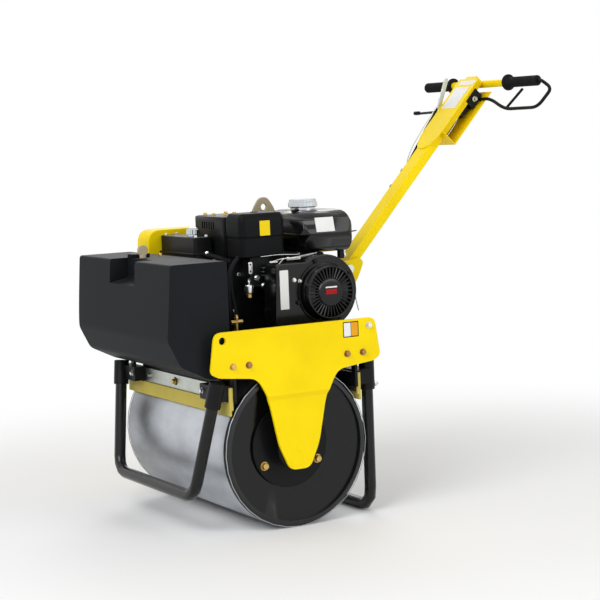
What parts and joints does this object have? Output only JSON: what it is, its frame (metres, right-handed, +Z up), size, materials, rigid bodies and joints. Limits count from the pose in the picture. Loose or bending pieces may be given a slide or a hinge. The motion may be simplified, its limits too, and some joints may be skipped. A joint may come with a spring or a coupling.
{
  "type": "road roller",
  "caption": "Walk-behind vibratory roller with one wide steel drum, a water tank in front, a petrol engine above and a fold-up steering handle behind.",
  "frame": {"origin": "middle of the machine's bounding box, on the floor it stands on", "axes": "+Z up, +Y towards the rear, where the handle and its operator are, +X to the side of the engine's recoil starter"},
  "size_m": [0.64, 1.2214, 1.1744],
  "materials": {
    "yellow_paint": "gloss enamel",
    "black_paint": "satin enamel",
    "charcoal_plastic": "moulded, slightly grained",
    "rolled_steel": "bare rolled steel",
    "zinc_plate": "zinc plated",
    "olive_paint": "dull yellow enamel",
    "cast_aluminium": "sand cast",
    "chrome": "polished",
    "rubber": "moulded rubber",
    "beige_paint": "satin enamel"
  },
  "bodies": {
    "frame": {"side_plate_left": "yellow_paint", "side_plate_right": "yellow_paint", "drum_axle_left": "black_paint", "drum_axle_right": "black_paint", "deck": "black_paint", "front_beam": "black_paint", "rear_beam": "black_paint", "front_scraper_plate": "zinc_plate", "rear_scraper_plate": "zinc_plate", "front_scraper": "olive_paint", "rear_scraper": "olive_paint", "front_stand": "black_paint", "front_stand_clamp_left": "black_paint", "front_stand_clamp_right": "black_paint", "rear_stand_clamp_left": "black_paint", "rear_stand_clamp_right": "black_paint", "water_tank": "charcoal_plastic", "water_tank_cap": "charcoal_plastic", "water_tap": "beige_paint", "sprinkler_pipe": "black_paint", "engine_crankcase": "black_paint", "engine_cylinder": "cast_aluminium", "blower_housing": "cast_aluminium", "fan_shroud": "black_paint", "recoil_starter": "black_paint", "fuel_tank": "black_paint", "fuel_cap": "chrome", "air_cleaner": "black_paint", "engine_cowl": "black_paint", "carburettor": "cast_aluminium", "muffler": "black_paint", "lifting_eye": "beige_paint", "belt_guard": "yellow_paint", "drive_shaft": "rolled_steel", "oil_tank": "black_paint", "oil_tank_cap": "chrome", "handle_bracket": "yellow_paint", "handle_pin": "zinc_plate"},
    "drum": {"drum_shell": "rolled_steel", "drum_end_left": "black_paint", "drum_end_right": "black_paint", "drum_flange_left": "black_paint", "drum_flange_right": "black_paint"},
    "rear_stand": {"rear_stand": "black_paint"},
    "handle": {"handle_tube": "yellow_paint", "handlebar": "yellow_paint", "grip_left": "rubber", "grip_right": "rubber", "console_cover": "yellow_paint", "console_box": "yellow_paint", "travel_bail": "black_paint", "throttle_lever": "zinc_plate", "travel_lever": "black_paint", "throttle_cable": "rubber"}
  },
  "joints": [
    {"name": "drum_spin", "type": "hinge", "parent": "frame", "child": "drum", "pos_m": [0, -0.25852, 0.2123], "axis": [1, 0, 0], "continuous": true},
    {"name": "rear_stand_slide", "type": "slide", "parent": "frame", "child": "rear_stand", "axis": [0, 0, 1], "range_m": [0, 0.088]},
    {"name": "handle_fold", "type": "hinge", "parent": "frame", "child": "handle", "pos_m": [0, 0.08648, 0.64], "axis": [1, 0, 0], "range_deg": [0, 45]}
  ]
}
